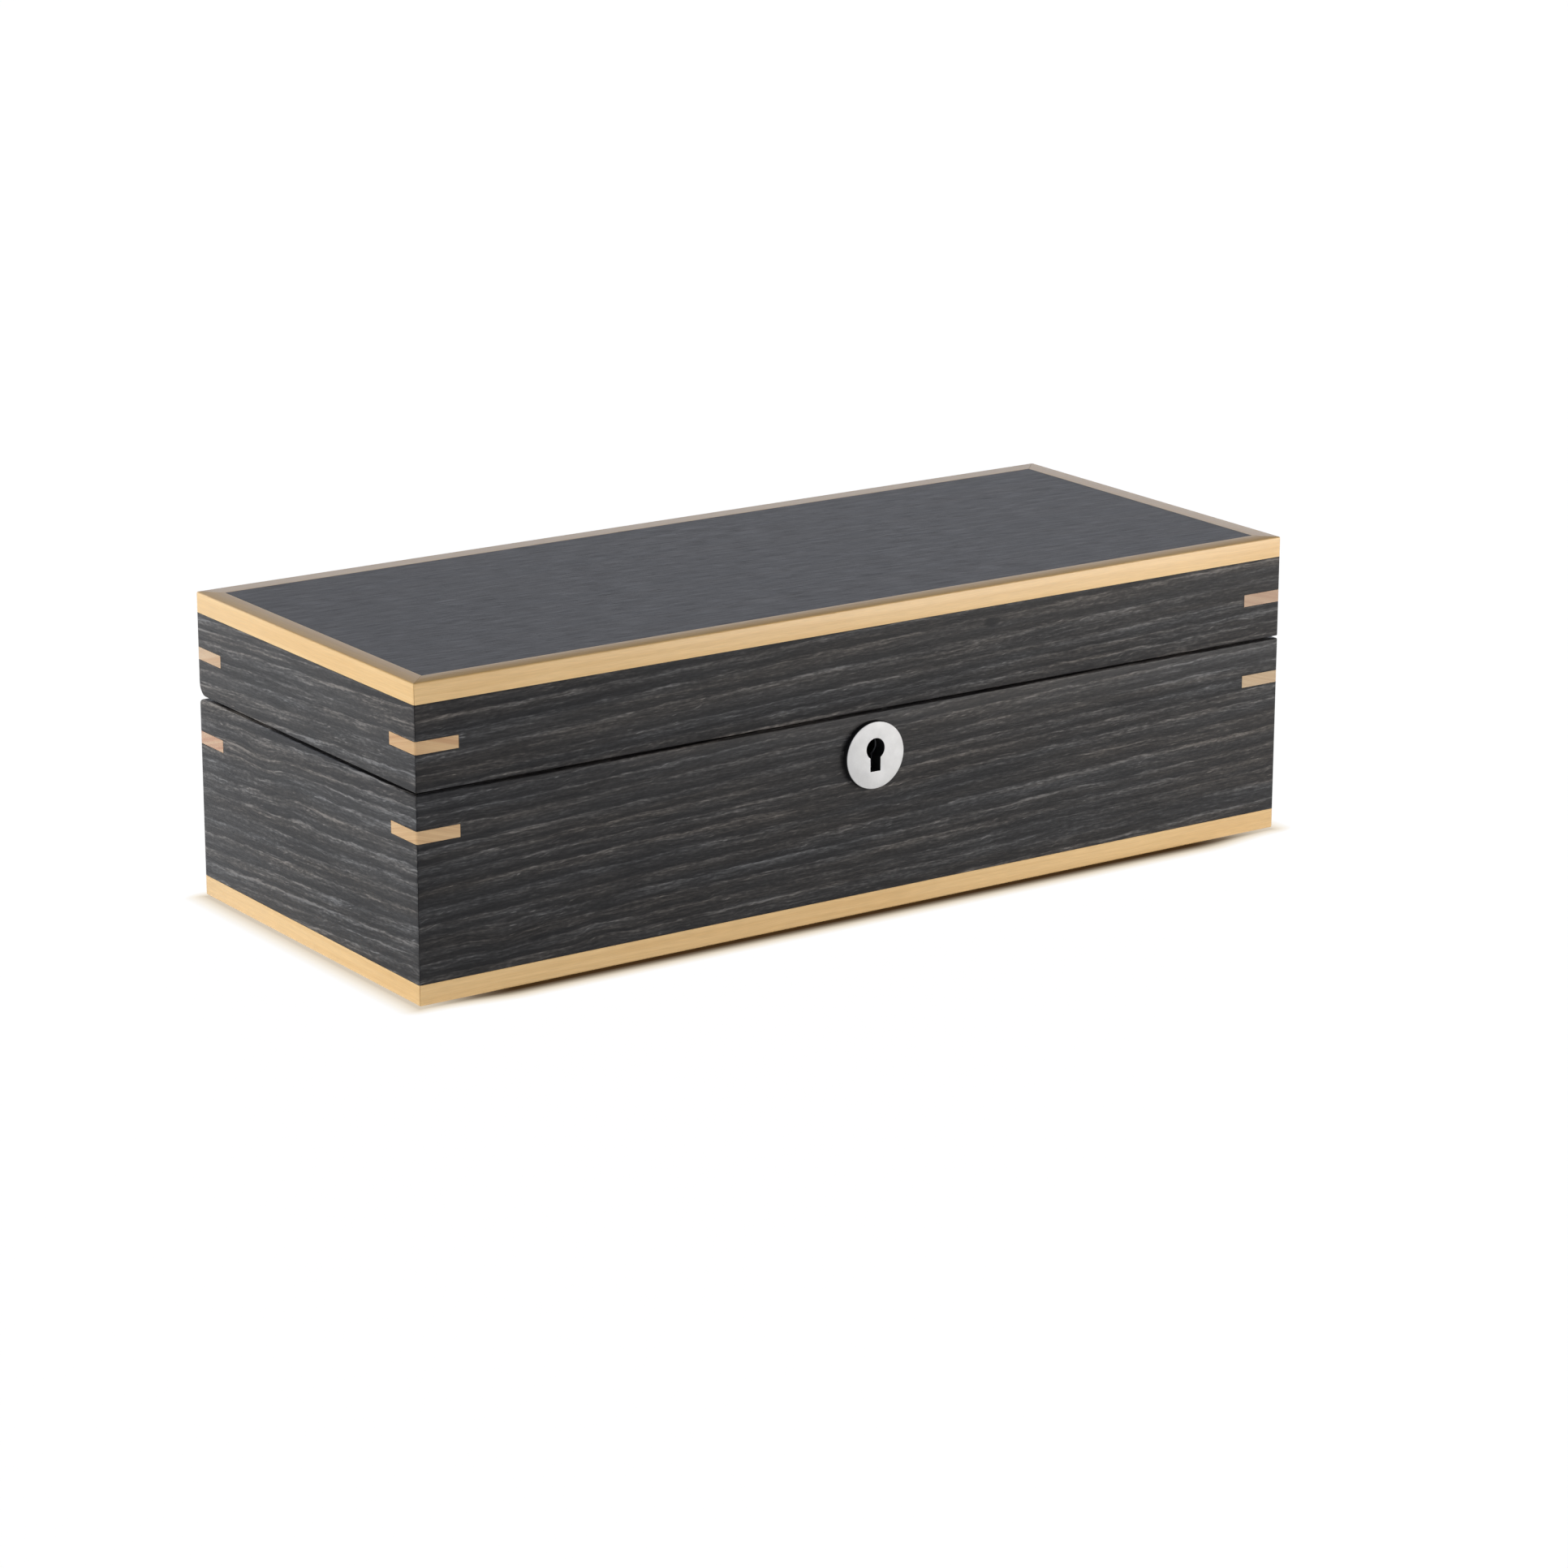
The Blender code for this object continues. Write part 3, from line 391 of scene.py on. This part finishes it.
def dress(name, material, edge=0.0):
    """Give a CAD node its finish, smooth shading and, on metal, slightly broken edges."""
    piece = NODES[name]
    piece.data.materials.clear()
    piece.data.materials.append(material)
    smooth = piece.modifiers.new("join_and_smooth", "NODES")
    smooth.node_group = SMOOTH
    if edge:
        bevel = piece.modifiers.new("broken_edges", "BEVEL")
        bevel.width = edge
        bevel.segments = 2
        bevel.limit_method = "ANGLE"
        bevel.angle_limit = BREAK_ABOVE
        bevel.use_clamp_overlap = True
        bevel.harden_normals = False


# For each side: along its grain and where that starts, so that the pattern goes on round the corners,
# then inwards and where that starts, and the grain's slope.
SIDE_RUNS = {
    "front": ((1, 0, 0), 0.0, (0, 1, 0), DEPTH / 2, -0.03),
    "left": ((0, -1, 0), -LENGTH / 2 - DEPTH / 2, (1, 0, 0), LENGTH / 2, -0.06),
    "right": ((0, 1, 0), LENGTH / 2 + DEPTH / 2, (-1, 0, 0), LENGTH / 2, -0.03),
    "back": ((-1, 0, 0), LENGTH + DEPTH, (0, -1, 0), DEPTH / 2, -0.03),
}
# Per-side settings of the one veneer, partly painted light: the front is made lighter towards the right, the
# left's raised contrast paints a sheen, and the left's higher gloss makes it reflect more.
SIDE_PAINTED_LIGHT = {
    "left": {"contrast_and_sheen": 1.45, "gloss": 1.63},
    "front": {"contrast_and_sheen": 1.0, "painted_light_drift": 0.28},
}
FRONT_Y = WALLS_LOW.y
LEFT_X = WALLS_LOW.x
# Where the grain bends round something under the surface: centre, radius and how far it is pushed.
SWIRLS = {
    "front": (((-0.136, FRONT_Y, 0.017), 0.008, 0.0013), ((-0.100, FRONT_Y, 0.012), 0.007, -0.0010)),
    "left": (((LEFT_X, 0.004, 0.047), 0.014, -0.0012), ((LEFT_X, 0.026, 0.056), 0.010, 0.0014)),
    "back": (((0.060, -FRONT_Y, 0.030), 0.012, 0.0030),),
    "right": (((-LEFT_X, 0.020, 0.040), 0.014, 0.0030),),
}
# Small dark knots: centre and radius.
KNOTS = {"front": (((0.0463, FRONT_Y, 0.0888), 0.0021),)}
for side, (run, run_start, inward, inward_start, slope) in SIDE_RUNS.items():
    side_veneer = veneer(f"veneer_{side}", run, run_start, inward, inward_start, slope,
                         swirls=SWIRLS[side], knots=KNOTS.get(side, ()), **SIDE_PAINTED_LIGHT.get(side, {}))
    for part in ("base", "lid"):
        dress(f"{part}_{side}_wall", side_veneer)
# Painted light: the top is made lighter towards the right. The bottom panel shares this veneer.
top_veneer = veneer("veneer_top", (1, 0, 0), 0.7, (0, 1, 0), 0.3, 0.01, painted_light_drift=0.35, contrast_and_sheen=0.50, gloss=1.60)
dress("top_panel", top_veneer)
dress("bottom_panel", top_veneer)

MAPLE_PALE = (0.76, 0.51, 0.225)
MAPLE_DEEP = (0.66, 0.41, 0.155)
# Pale and deep colour of each key, set key by key.
KEY_WOODS = {
    "base_front_left": ((0.61, 0.41, 0.20), (0.46, 0.26, 0.11)),
    "base_front_right": ((0.52, 0.38, 0.22), (0.42, 0.27, 0.14)),
    "base_back_right": ((0.55, 0.38, 0.21), (0.47, 0.28, 0.14)),
    "base_back_left": ((0.56, 0.38, 0.23), (0.40, 0.18, 0.10)),
    "lid_front_left": ((0.58, 0.38, 0.18), (0.42, 0.21, 0.08)),
    "lid_front_right": ((0.47, 0.32, 0.20), (0.37, 0.22, 0.13)),
    "lid_back_right": ((0.55, 0.38, 0.22), (0.46, 0.27, 0.14)),
    "lid_back_left": ((0.57, 0.41, 0.25), (0.47, 0.29, 0.15)),
}
KEY_RUNS = {
    "front_left": (0.7071, -0.7071, 0), "front_right": (0.7071, 0.7071, 0),
    "back_right": (-0.7071, 0.7071, 0), "back_left": (-0.7071, -0.7071, 0),
}
KEY_OFFSET = 3.7
KEY_FIGURE = 1.3
for part, offset in (("base", 0.4), ("lid", 1.3)):
    for side, (run, *_) in SIDE_RUNS.items():
        dress(f"{part}_{side}_lipping", maple(f"maple_{part}_{side}", run, offset, MAPLE_PALE, MAPLE_DEEP))
    for number, (corner, run) in enumerate(KEY_RUNS.items()):
        pale, deep = KEY_WOODS[f"{part}_{corner}"]
        key_wood = maple(f"key_{part}_{corner}", run, offset + number * KEY_OFFSET, pale, deep, KEY_FIGURE)
        dress(f"{part}_key_{corner}", key_wood)


# Painted shade: the dark colour of the plate's rim and of the keyhole's sides.
PLATE_RIM_SHADE = (0.035, 0.035, 0.037)
PLATE_DULL = (0.69, 0.69, 0.685)
PLATE_BRIGHT = (0.79, 0.79, 0.785)
PLATE_ROUGHNESS = (0.68, 0.82)


def satin_plate():
    """Satin steel on the front, with shade painted dark on the rim and inside the keyhole."""
    material, tree, shader = new_material("satin_steel", Metallic=1.0)
    point = place(tree)
    # Where a face turns away from the front, on the rim and in the keyhole, the colour goes to the painted
    # shade.
    facing = node(tree, "ShaderNodeSeparateXYZ", {0: node(tree, "ShaderNodeTexCoord").outputs["Normal"]})
    face = ramp(tree, calc(tree, "ABSOLUTE", facing.outputs["Y"]), 0.55, 0.9)
    speckle = cell_noise(tree, point, 2600.0, 2.0)
    clouds = cell_noise(tree, point, 240.0, 2.0)
    grain = calc(tree, "MULTIPLY_ADD", clouds, 0.5, calc(tree, "MULTIPLY", speckle, 0.5))
    satin = blend_colours(tree, ramp(tree, grain, 0.3, 0.7), PLATE_DULL, PLATE_BRIGHT)
    tree.links.new(blend_colours(tree, face, PLATE_RIM_SHADE, satin), shader.inputs["Base Color"])
    tree.links.new(ramp(tree, speckle, 0.3, 0.7, *PLATE_ROUGHNESS), shader.inputs["Roughness"])
    bump(tree, shader, speckle, 0.00002)
    return material


escutcheon_steel = satin_plate()
nickel = metal("nickel", (0.52, 0.505, 0.48), 0.36)
zinc = metal("lock_zinc", (0.45, 0.45, 0.46), 0.34)
bronze = metal("spring_bronze", (0.55, 0.34, 0.16), 0.30)
# Finish and width of the broken edges, by the record's material slot.
FINISH_OF_SLOT = {
    "nickel": (nickel, 0.00012),
    "lock_steel": (zinc, 0.00010),
    "spring_bronze": (bronze, 0.00005),
}
dress("escutcheon", escutcheon_steel, 0.00012)
for row in frame["record"]["subparts"]:
    if row["material_slot"] in FINISH_OF_SLOT:
        dress(row["node"], *FINISH_OF_SLOT[row["material_slot"]])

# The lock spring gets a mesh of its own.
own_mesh(NODES["lock_spring"])


# ---------------------------------------------------------------- soft pieces
suede = cloth("grey_suede", (0.13, 0.125, 0.12), (0.27, 0.26, 0.25), 1900.0, 0.35)
felt = cloth("black_felt", (0.008, 0.008, 0.008), (0.030, 0.030, 0.030), 2600.0, 0.1)


def mesh_piece(name, bm, material, body, slot_name, *replaced):
    bmesh.ops.recalc_face_normals(bm, faces=bm.faces)
    mesh = bpy.data.meshes.new(name)
    bm.to_mesh(mesh)
    bm.free()
    mesh.materials.append(material)
    mesh.shade_smooth()
    piece = bpy.data.objects.new(name, mesh)
    bpy.context.scene.collection.objects.link(piece)
    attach(piece, body)
    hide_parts(*replaced)
    return piece


def rounded_rectangle(half_x, half_y, radius, corner_steps, straight_steps):
    """Points round a rectangle with rounded corners, close enough together to bend softly."""
    centres = [(1, 1, 0), (-1, 1, 90), (-1, -1, 180), (1, -1, 270)]
    corners = []
    for sign_x, sign_y, start in centres:
        arc = []
        for i in range(corner_steps + 1):
            angle = math.radians(start + 90 * i / corner_steps)
            x = sign_x * (half_x - radius) + radius * math.cos(angle)
            y = sign_y * (half_y - radius) + radius * math.sin(angle)
            arc.append(Vector((x, y)))
        corners.append(arc)
    points = []
    for arc, following in zip(corners, corners[1:] + corners[:1]):
        points += arc
        for i in range(1, straight_steps):
            points.append(arc[-1].lerp(following[0], i / straight_steps))
    return points


LINING_THICKNESS = 0.0016
LINING_CORNER = 0.003
LINING_RIM = 0.004                 # from the rim to the next ring down the inner face


def lining(part):
    """Suede-covered card folded round the inside, with a soft rolled edge at the rim."""
    low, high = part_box(f"{part}_lining")
    rim, foot = (high.z, low.z) if part == "base" else (low.z, high.z)
    way = 1 if part == "base" else -1
    roll = LINING_THICKNESS / 2
    profile = [(0.0, foot), (0.0, rim - way * roll)]
    for i in range(1, 8):
        angle = math.pi * i / 8
        profile.append((roll - roll * math.cos(angle), rim - way * roll + way * roll * math.sin(angle)))
    profile += [(LINING_THICKNESS, z) for z in (rim - way * roll, rim - way * LINING_RIM, foot)]
    bm = bmesh.new()
    rings = []
    for inset, z in profile:
        outline = rounded_rectangle(high.x - inset, high.y - inset, LINING_CORNER - inset, 6, 40)
        rings.append([bm.verts.new((p.x, p.y, z)) for p in outline])
    count = len(rings[0])
    for here, there in zip(rings, rings[1:] + rings[:1]):
        for i in range(count):
            j = (i + 1) % count
            bm.faces.new((here[i], here[j], there[j], there[i]))
    piece = mesh_piece(f"{part}_suede_lining", bm, suede, part, "grey_suede", f"{part}_lining")


PAD_CELL = 0.003
PAD_GAP = 0.0006                   # inside the CAD pad's outline, all round
PAD_SWELL = 0.0014                 # no point moves further than this
PAD_PRESSURE = 1.5
PAD_STEPS = 20
PAD_GLUED = 0.3                    # share of the thickness that is held
# From the glued face round the edge to the crown: inset and share of the CAD pad's thickness.
PAD_PROFILE = ((0.0003, 0.0), (0.0, 0.22), (0.0, 0.45), (0.0006, 0.60), (0.0020, 0.69), (0.0042, 0.72))


def pad_shell(low, high, foot, way):
    """A closed thin pad a little smaller than its CAD solid, so that it has room to swell."""
    half_x, half_y = high.x - PAD_GAP, high.y - PAD_GAP
    thickness = high.z - low.z
    count_x = round(2 * half_x / PAD_CELL)
    count_y = round(2 * half_y / PAD_CELL)
    bm = bmesh.new()

    def spot(i, j, inset, share):
        x = (half_x - inset) * (2 * i / count_x - 1)
        y = (half_y - inset) * (2 * j / count_y - 1)
        return bm.verts.new((x, y, foot + way * thickness * share))

    rim = [(i, 0) for i in range(count_x)] + [(count_x, j) for j in range(count_y)]
    rim += [(i, count_y) for i in range(count_x, 0, -1)] + [(0, j) for j in range(count_y, 0, -1)]
    rings = [[spot(i, j, *step) for i, j in rim] for step in PAD_PROFILE]
    for lower, upper in zip(rings, rings[1:]):
        for k in range(len(rim)):
            n = (k + 1) % len(rim)
            bm.faces.new((lower[k], lower[n], upper[n], upper[k]))
    for ring, step in ((rings[0], PAD_PROFILE[0]), (rings[-1], PAD_PROFILE[-1])):
        grid = dict(zip(rim, ring))
        for i in range(1, count_x):
            for j in range(1, count_y):
                grid[i, j] = spot(i, j, *step)
        for i in range(count_x):
            for j in range(count_y):
                bm.faces.new((grid[i, j], grid[i + 1, j], grid[i + 1, j + 1], grid[i, j + 1]))
    return bm


def swell(piece, held_below, foot):
    """Blow the pad up as cloth, held where it is glued, and keep the move within PAD_SWELL."""
    mesh = piece.data
    held = piece.vertex_groups.new(name="held")
    held.add([v.index for v in mesh.vertices if abs(v.co.z - foot) < held_below], 1.0, "REPLACE")
    swelling = piece.modifiers.new("swelling", "CLOTH")
    settings = swelling.settings
    settings.quality = 4
    settings.tension_stiffness = 12
    settings.compression_stiffness = 12
    settings.shear_stiffness = 4
    settings.bending_stiffness = 0.3
    settings.use_pressure = True
    settings.uniform_pressure_force = PAD_PRESSURE
    settings.effector_weights.gravity = 0
    settings.vertex_group_mass = held.name
    swelling.collision_settings.use_collision = False
    swelling.point_cache.frame_start = 1
    swelling.point_cache.frame_end = PAD_STEPS
    for step in range(1, PAD_STEPS + 1):
        bpy.context.scene.frame_set(step)
    blown = piece.evaluated_get(bpy.context.evaluated_depsgraph_get()).data
    moves = [there.co - here.co for here, there in zip(mesh.vertices, blown.vertices)]
    piece.modifiers.remove(swelling)
    piece.vertex_groups.remove(held)
    bpy.context.scene.frame_set(1)
    for vertex, move in zip(mesh.vertices, moves):
        vertex.co += move * PAD_SWELL / (PAD_SWELL + move.length)


def pad(name, node_name, body, up):
    """A thin foam pad under suede, crowned, with eased edges."""
    low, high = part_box(node_name)
    foot, way = (low.z, 1) if up else (high.z, -1)
    piece = mesh_piece(name, pad_shell(low, high, foot, way), suede, body, "grey_suede", node_name)
    swell(piece, PAD_GLUED * (high.z - low.z), foot)
    smooth = piece.modifiers.new("smooth", "SUBSURF")
    smooth.levels = smooth.render_levels = 1


FELT_CORNER = 0.004
FELT_EASE = 0.0002


def felt_sheet():
    """One sheet of felt with slightly eased edges."""
    low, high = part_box("underside_felt")
    bm = bmesh.new()
    rings = []
    edge = ((FELT_EASE, low.z), (0.0, low.z + FELT_EASE), (0.0, high.z - FELT_EASE), (FELT_EASE, high.z))
    for inset, z in edge:
        outline = rounded_rectangle(high.x - inset, high.y - inset, FELT_CORNER - inset, 6, 30)
        rings.append([bm.verts.new((p.x, p.y, z)) for p in outline])
    count = len(rings[0])
    for here, there in zip(rings, rings[1:]):
        for i in range(count):
            j = (i + 1) % count
            bm.faces.new((here[i], here[j], there[j], there[i]))
    bm.faces.new(rings[0])
    bm.faces.new(rings[-1])
    piece = mesh_piece("felt_sheet", bm, felt, "base", "black_felt", "underside_felt")


for part in ("base", "lid"):
    lining(part)
pad("floor_cushion", "floor_pad", "base", True)
pad("lid_cushion", "lid_pad", "lid", False)
felt_sheet()


# ---------------------------------------------------------------- studio
FLOOR_SIZE = 5.0
FLOOR_LIGHT = 0.40
FLOOR_ALBEDO = 0.62
FLOOR_DARK = 0.05
FLOOR_DARK_WIDTH = 0.2             # share of the shade's width over which light and albedo rise
# The floor's colour going away from the box: a dark warm line under the front, fading out over SHADE_FRONT.
# At the ends only its pale outer part shows, from SHADE_END_LEVEL on, fading out at the rate of SHADE_END.
SHADE_RAMP = (
    (0.00, (0.050, 0.024, 0.008)),
    (0.18, (0.180, 0.135, 0.092)),
    (0.36, (0.470, 0.400, 0.310)),
    (0.54, (0.780, 0.690, 0.570)),
    (0.76, (0.940, 0.880, 0.790)),
    (1.00, (1.000, 1.000, 1.000)),
)
SHADE_FRONT = 0.0090
SHADE_END = 0.014
SHADE_END_LEVEL = 0.47
SHADE_CORNER = 0.035               # how far from the ends the front's dark line starts to pale
HORIZON = (0.89, 0.92, 1.01)
ZENITH = (0.06, 0.06, 0.065)
HORIZON_TOP = 0.27                 # sine of the height where the horizon's light starts to fade
ZENITH_FOOT = 0.46


def studio_floor():
    """A white light table that glows everywhere but under the box, with a thin soft shade at its foot."""
    bm = bmesh.new()
    bmesh.ops.create_grid(bm, x_segments=1, y_segments=1, size=FLOOR_SIZE)
    mesh = bpy.data.meshes.new("floor")
    bm.to_mesh(mesh)
    bm.free()
    material, tree, shader = new_material("white_floor", Roughness=0.9, Specular_IOR_Level=0.1)
    mirrored = node(tree, "ShaderNodeVectorMath", {0: place(tree)}, operation="ABSOLUTE").outputs[0]
    corner = (WALLS_HIGH.x, WALLS_HIGH.y, 1.0)
    offset = node(tree, "ShaderNodeVectorMath", {0: mirrored, 1: corner}, operation="SUBTRACT").outputs[0]
    outside = node(tree, "ShaderNodeVectorMath", {0: offset, 1: (0, 0, 0)}, operation="MAXIMUM").outputs[0]
    shares = (1.0 / SHADE_END, 1.0 / SHADE_FRONT, 0.0)
    outside = node(tree, "ShaderNodeVectorMath", {0: outside, 1: shares}, operation="MULTIPLY").outputs[0]
    away = node(tree, "ShaderNodeVectorMath", {0: outside}, operation="LENGTH").outputs["Value"]
    from_end = node(tree, "ShaderNodeSeparateXYZ", {0: offset}).outputs["X"]
    away = calc(tree, "ADD", away, ramp(tree, from_end, -SHADE_CORNER, 0.0, 0.0, SHADE_END_LEVEL))

    # The camera sees only the shade's colour; every other ray sees a softly glowing white table.
    to_camera = node(tree, "ShaderNodeLightPath").outputs["Is Camera Ray"]
    shade = colour_ramp(tree, away, SHADE_RAMP)
    bounced = grey_level(tree, ramp(tree, away, 0.0, FLOOR_DARK_WIDTH, FLOOR_DARK, FLOOR_ALBEDO))
    glow = grey_level(tree, ramp(tree, away, 0.0, FLOOR_DARK_WIDTH, 0.0, FLOOR_LIGHT))
    tree.links.new(blend_colours(tree, to_camera, bounced, (0.0, 0.0, 0.0)), shader.inputs["Base Color"])
    tree.links.new(blend_colours(tree, to_camera, glow, shade), shader.inputs["Emission Color"])
    shader.inputs["Emission Strength"].default_value = 1.0
    mesh.materials.append(material)
    floor = bpy.data.objects.new("floor", mesh)
    bpy.context.scene.collection.objects.link(floor)


def softbox(name, place_at, target, size, power, colour, glossy):
    """A lamp that the camera doesn't see."""
    light = bpy.data.lights.new(name, "AREA")
    light.shape = "RECTANGLE"
    light.size, light.size_y = size
    light.energy = power
    light.color = colour
    lamp = bpy.data.objects.new(name, light)
    lamp.location = place_at
    lamp.rotation_euler = (Vector(target) - Vector(place_at)).to_track_quat("-Z", "Y").to_euler()
    lamp.visible_camera = False
    lamp.visible_glossy = glossy
    bpy.context.scene.collection.objects.link(lamp)


def studio_world():
    """Pale blue-white round the horizon and dim overhead, so upright faces are lit more than the lid."""
    world = bpy.data.worlds.new("studio")
    bpy.context.scene.world = world
    world.use_nodes = True
    tree = world.node_tree
    background = tree.nodes["Background"]
    direction = node(tree, "ShaderNodeTexCoord").outputs["Generated"]
    height = node(tree, "ShaderNodeSeparateXYZ", {0: direction}).outputs["Z"]
    overhead = ramp(tree, height, HORIZON_TOP, ZENITH_FOOT)
    sky = blend_colours(tree, overhead, HORIZON, ZENITH)
    to_camera = node(tree, "ShaderNodeLightPath").outputs["Is Camera Ray"]
    tree.links.new(blend_colours(tree, to_camera, sky, (1.0, 1.0, 1.0)), background.inputs["Color"])


CAMERA_PLACE = (-0.85983, -1.26918, 0.47456)
CAMERA_ANGLES = (-34.5165, 16.2895, 0.0687)     # azimuth, elevation and roll, in degrees
CAMERA_LENS = 112.53
CAMERA_SENSOR = 36.0


def main_camera():
    """Long lens from the front left, a little above the lid."""
    azimuth, elevation, roll = (math.radians(angle) for angle in CAMERA_ANGLES)
    camera_data = bpy.data.cameras.new("camera")
    camera_data.sensor_width = CAMERA_SENSOR
    camera_data.lens = CAMERA_LENS
    camera_data.clip_end = 50.0
    camera = bpy.data.objects.new("camera", camera_data)
    back = Vector((math.sin(azimuth) * math.cos(elevation), -math.cos(azimuth) * math.cos(elevation),
                   math.sin(elevation)))
    right = Vector((0, 0, 1)).cross(back).normalized()
    up = back.cross(right)
    turned = Matrix((right, up, back)).transposed() @ Matrix.Rotation(roll, 3, "Z")
    camera.matrix_world = Matrix.Translation(CAMERA_PLACE) @ turned.to_4x4()
    bpy.context.scene.collection.objects.link(camera)
    bpy.context.scene.camera = camera


# Name, place, target, size, power, colour and whether polished faces reflect it.
SOFTBOXES = (
    ("left_softbox", (-1.30, 0.05, 0.28), (-0.15, 0, 0.05), (0.9, 0.5), 8.8, (1.0, 1.0, 1.0), False),
    ("right_softbox", (0.66, -0.70, 0.24), (0.13, 0, 0.05), (0.8, 0.6), 5.4, (1.0, 0.96, 0.91), True),
    ("back_softbox", (-0.80, 1.40, 0.40), (0, 0, 0.05), (0.9, 0.6), 7.0, (1.0, 1.0, 1.0), False),
    ("far_softbox", (1.40, 0.30, 0.35), (0.1, 0, 0.05), (0.8, 0.6), 3.6, (1.0, 1.0, 1.0), False),
)

studio_floor()
studio_world()
for settings in SOFTBOXES:
    softbox(*settings)
main_camera()
bpy.context.scene.view_settings.view_transform = "Standard"
